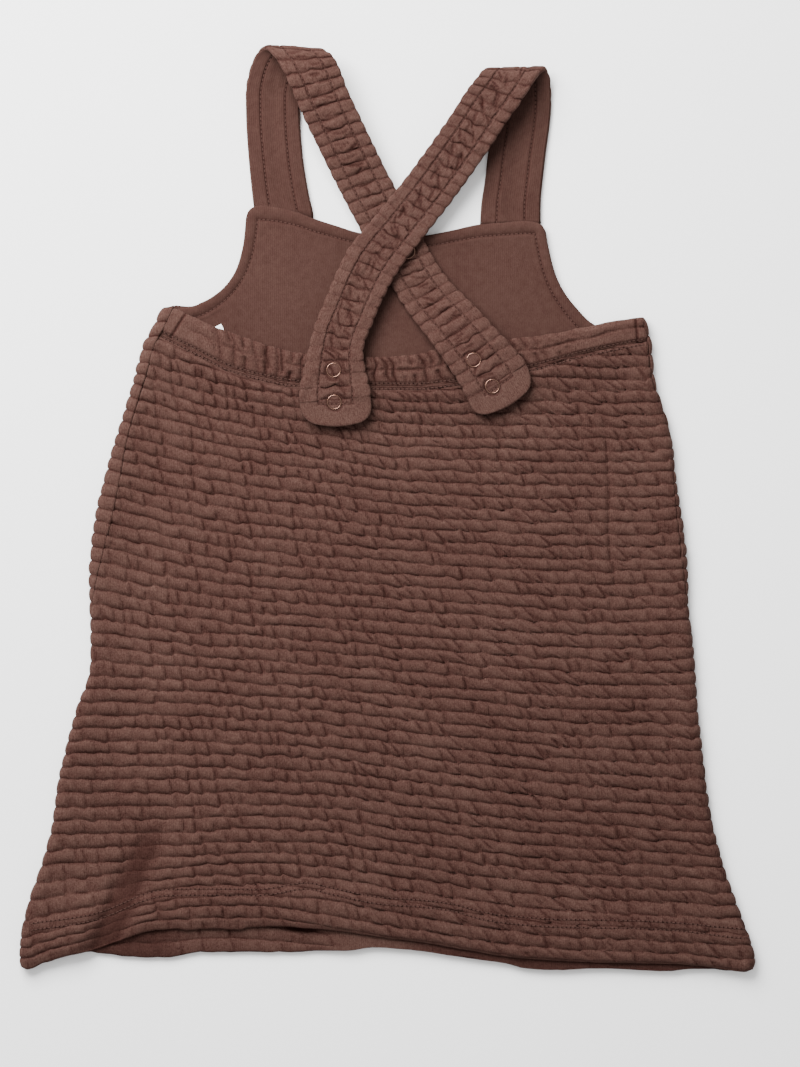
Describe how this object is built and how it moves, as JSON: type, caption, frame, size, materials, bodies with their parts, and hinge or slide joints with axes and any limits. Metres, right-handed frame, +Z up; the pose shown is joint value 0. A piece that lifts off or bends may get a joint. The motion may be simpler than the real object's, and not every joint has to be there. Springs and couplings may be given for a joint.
{
  "type": "pinafore dress",
  "caption": "Child's quilted jersey pinafore dress laid flat back up, with gathered elastic back waist, lined bib and crossed straps with press studs.",
  "frame": {"origin": "under the middle of the dress's box, on the surface it lies on", "axes": "+Y from the hem to the straps, +Z up from the surface, +X across the dress"},
  "size_m": [0.4546, 0.5689, 0.0198],
  "materials": {
    "quilted_jersey": "matte brown cotton jersey, quilted in ribs about 7.6 mm apart",
    "lining_jersey": "matte brown plain cotton jersey",
    "stud_metal": "copper-coloured plated rings",
    "label_satin": "blank white satin tape"
  },
  "bodies": {
    "root": {"front_panel": "quilted_jersey", "back_panel": "quilted_jersey", "waist_casing": "quilted_jersey", "strap_left": "quilted_jersey", "strap_right": "quilted_jersey", "bib_lining": "lining_jersey", "strap_left_lining": "lining_jersey", "strap_right_lining": "lining_jersey", "press_stud_left_end_low": "stud_metal", "press_stud_left_end_high": "stud_metal", "press_stud_right_end_low": "stud_metal", "press_stud_right_end_high": "stud_metal", "press_stud_crossing": "stud_metal", "care_label": "label_satin"}
  },
  "joints": []
}
